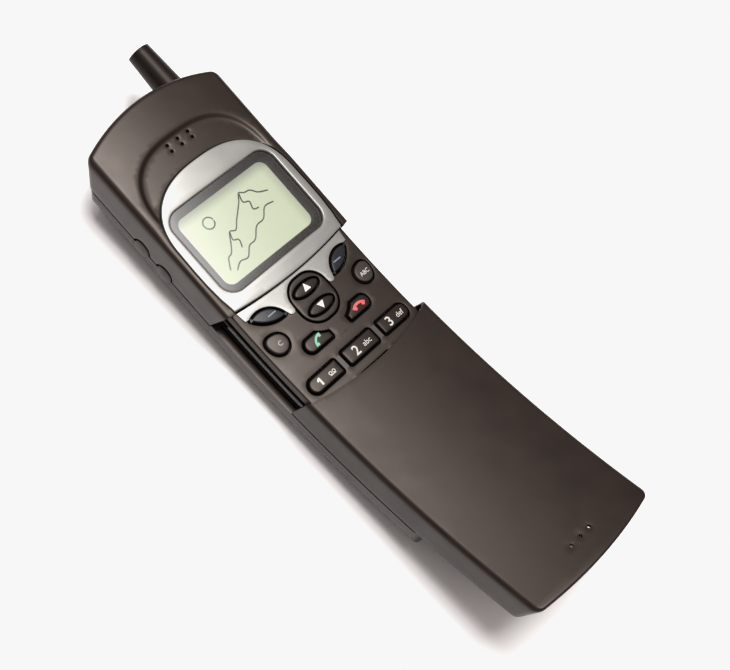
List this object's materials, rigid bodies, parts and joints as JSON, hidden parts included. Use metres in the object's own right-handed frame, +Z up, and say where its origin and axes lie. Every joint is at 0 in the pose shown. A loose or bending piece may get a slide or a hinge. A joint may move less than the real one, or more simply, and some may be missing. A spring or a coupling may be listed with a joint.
{
  "type": "slide-cover pocket telephone",
  "caption": "Curved pocket telephone with a display housing, an arced keypad under a slide-down microphone cover, push keys, a clip-in battery and a stub antenna",
  "frame": {"origin": "centre of the flat resting face on the battery's back, with the telephone lying on its back", "axes": "+X is the telephone's right side seen from the front, +Y points to the antenna, +Z is up, out of the front"},
  "size_m": [0.0484, 0.1843, 0.0372],
  "materials": {
    "housing_plastic": "satin",
    "rail_plastic": "satin",
    "antenna_rubber": "satin",
    "key_rubber": "satin",
    "key_plastic": "semi-gloss",
    "silver_paint": "satin metallic",
    "frame_black": "gloss",
    "window_clear": "gloss",
    "lcd_green": "satin",
    "guide_white": "gloss",
    "steel_plate": "satin",
    "dome_film": "satin",
    "foam_black": "matte",
    "mat_rubber": "matte",
    "board_green": "satin",
    "cell_sleeve": "satin",
    "contact_brass": "satin"
  },
  "bodies": {
    "handset": {"front_housing": "housing_plastic", "rear_shell": "housing_plastic", "key_deck": "housing_plastic", "slide_rails": "rail_plastic", "display_bezel": "silver_paint", "display_frame": "frame_black", "display_window": "window_clear", "lcd_glass": "lcd_green", "light_guide": "guide_white", "lcd_tray": "steel_plate", "ear_speaker": "steel_plate", "ear_gasket": "foam_black", "softkey_trim": "silver_paint", "nav_island": "frame_black", "keymat": "mat_rubber", "dome_sheet": "dome_film", "keypad_board": "board_green", "main_board": "board_green", "rf_shield": "steel_plate", "sim_holder": "rail_plastic", "buzzer": "rail_plastic", "side_switches": "steel_plate", "battery_case": "housing_plastic", "battery_cells": "cell_sleeve", "battery_contacts": "contact_brass", "antenna_stub": "antenna_rubber", "antenna_base": "contact_brass", "charge_jack": "steel_plate", "link_contacts": "contact_brass", "case_screws": "steel_plate"},
    "slide_cover": {"slide_cover": "housing_plastic", "cover_liner": "rail_plastic", "mic_capsule": "steel_plate", "mic_strips": "contact_brass"},
    "latch": {"battery_latch": "rail_plastic", "latch_spring": "steel_plate"},
    "rocker": {"volume_rocker": "housing_plastic"},
    "power": {"power_key": "key_rubber"},
    "press_soft_left": {"soft_left": "key_plastic"},
    "press_soft_right": {"soft_right": "key_plastic"},
    "press_nav_up": {"nav_up": "key_plastic"},
    "press_nav_down": {"nav_down": "key_plastic"},
    "press_clear": {"key_clear": "key_plastic"},
    "press_letters": {"key_letters": "key_plastic"},
    "press_send": {"key_send": "key_plastic"},
    "press_end": {"key_end": "key_plastic"},
    "press_1": {"key_1": "key_plastic"},
    "press_2": {"key_2": "key_plastic"},
    "press_3": {"key_3": "key_plastic"},
    "press_4": {"key_4": "key_plastic"},
    "press_5": {"key_5": "key_plastic"},
    "press_6": {"key_6": "key_plastic"},
    "press_7": {"key_7": "key_plastic"},
    "press_8": {"key_8": "key_plastic"},
    "press_9": {"key_9": "key_plastic"},
    "press_star": {"key_star": "key_plastic"},
    "press_0": {"key_0": "key_plastic"},
    "press_hash": {"key_hash": "key_plastic"}
  },
  "joints": [
    {"name": "cover_slide", "type": "hinge", "parent": "handset", "child": "slide_cover", "pos_m": [0, 0, 0.2745], "axis": [1, 0, 0], "range_deg": [-5.83, 6.82]},
    {"name": "latch_slide", "type": "slide", "parent": "handset", "child": "latch", "axis": [0, 0.9963, 0.086], "range_m": [0, 0.002], "stiffness_N_per_m": 400, "springref_m": -0.0005},
    {"name": "volume_rock", "type": "hinge", "parent": "handset", "child": "rocker", "pos_m": [-0.02185, 0.04832, 0.01138], "axis": [0, -0.086, 0.9963], "range_deg": [-2, 2], "stiffness_Nm_per_rad": 0.05},
    {"name": "power_press", "type": "slide", "parent": "handset", "child": "power", "axis": [0, -0.9963, -0.086], "range_m": [0, 0.0005], "stiffness_N_per_m": 400, "springref_m": -0.0002},
    {"name": "soft_left_press", "type": "slide", "parent": "handset", "child": "press_soft_left", "axis": [0, 0.0614, -0.9981], "range_m": [0, 0.0005], "stiffness_N_per_m": 400, "springref_m": -0.0002},
    {"name": "soft_right_press", "type": "slide", "parent": "handset", "child": "press_soft_right", "axis": [0, 0.0614, -0.9981], "range_m": [0, 0.0005], "stiffness_N_per_m": 400, "springref_m": -0.0002},
    {"name": "nav_up_press", "type": "slide", "parent": "handset", "child": "press_nav_up", "axis": [0, 0.0599, -0.9982], "range_m": [0, 0.0005], "stiffness_N_per_m": 400, "springref_m": -0.0002},
    {"name": "nav_down_press", "type": "slide", "parent": "handset", "child": "press_nav_down", "axis": [0, 0.0356, -0.9994], "range_m": [0, 0.0005], "stiffness_N_per_m": 400, "springref_m": -0.0002},
    {"name": "key_clear_press", "type": "slide", "parent": "handset", "child": "press_clear", "axis": [0, 0.0337, -0.9994], "range_m": [0, 0.0005], "stiffness_N_per_m": 400, "springref_m": -0.0002},
    {"name": "key_letters_press", "type": "slide", "parent": "handset", "child": "press_letters", "axis": [0, 0.0337, -0.9994], "range_m": [0, 0.0005], "stiffness_N_per_m": 400, "springref_m": -0.0002},
    {"name": "key_send_press", "type": "slide", "parent": "handset", "child": "press_send", "axis": [0, 0.0106, -0.9999], "range_m": [0, 0.0005], "stiffness_N_per_m": 400, "springref_m": -0.0002},
    {"name": "key_end_press", "type": "slide", "parent": "handset", "child": "press_end", "axis": [0, 0.0106, -0.9999], "range_m": [0, 0.0005], "stiffness_N_per_m": 400, "springref_m": -0.0002},
    {"name": "key_1_press", "type": "slide", "parent": "handset", "child": "press_1", "axis": [0, -0.0239, -0.9997], "range_m": [0, 0.0005], "stiffness_N_per_m": 400, "springref_m": -0.0002},
    {"name": "key_2_press", "type": "slide", "parent": "handset", "child": "press_2", "axis": [0, -0.0239, -0.9997], "range_m": [0, 0.0005], "stiffness_N_per_m": 400, "springref_m": -0.0002},
    {"name": "key_3_press", "type": "slide", "parent": "handset", "child": "press_3", "axis": [0, -0.0239, -0.9997], "range_m": [0, 0.0005], "stiffness_N_per_m": 400, "springref_m": -0.0002},
    {"name": "key_4_press", "type": "slide", "parent": "handset", "child": "press_4", "axis": [0, -0.0564, -0.9984], "range_m": [0, 0.0005], "stiffness_N_per_m": 400, "springref_m": -0.0002},
    {"name": "key_5_press", "type": "slide", "parent": "handset", "child": "press_5", "axis": [0, -0.0564, -0.9984], "range_m": [0, 0.0005], "stiffness_N_per_m": 400, "springref_m": -0.0002},
    {"name": "key_6_press", "type": "slide", "parent": "handset", "child": "press_6", "axis": [0, -0.0564, -0.9984], "range_m": [0, 0.0005], "stiffness_N_per_m": 400, "springref_m": -0.0002},
    {"name": "key_7_press", "type": "slide", "parent": "handset", "child": "press_7", "axis": [0, -0.0888, -0.9961], "range_m": [0, 0.0005], "stiffness_N_per_m": 400, "springref_m": -0.0002},
    {"name": "key_8_press", "type": "slide", "parent": "handset", "child": "press_8", "axis": [0, -0.0888, -0.9961], "range_m": [0, 0.0005], "stiffness_N_per_m": 400, "springref_m": -0.0002},
    {"name": "key_9_press", "type": "slide", "parent": "handset", "child": "press_9", "axis": [0, -0.0888, -0.9961], "range_m": [0, 0.0005], "stiffness_N_per_m": 400, "springref_m": -0.0002},
    {"name": "key_star_press", "type": "slide", "parent": "handset", "child": "press_star", "axis": [0, -0.1211, -0.9926], "range_m": [0, 0.0005], "stiffness_N_per_m": 400, "springref_m": -0.0002},
    {"name": "key_0_press", "type": "slide", "parent": "handset", "child": "press_0", "axis": [0, -0.1211, -0.9926], "range_m": [0, 0.0005], "stiffness_N_per_m": 400, "springref_m": -0.0002},
    {"name": "key_hash_press", "type": "slide", "parent": "handset", "child": "press_hash", "axis": [0, -0.1211, -0.9926], "range_m": [0, 0.0005], "stiffness_N_per_m": 400, "springref_m": -0.0002}
  ]
}
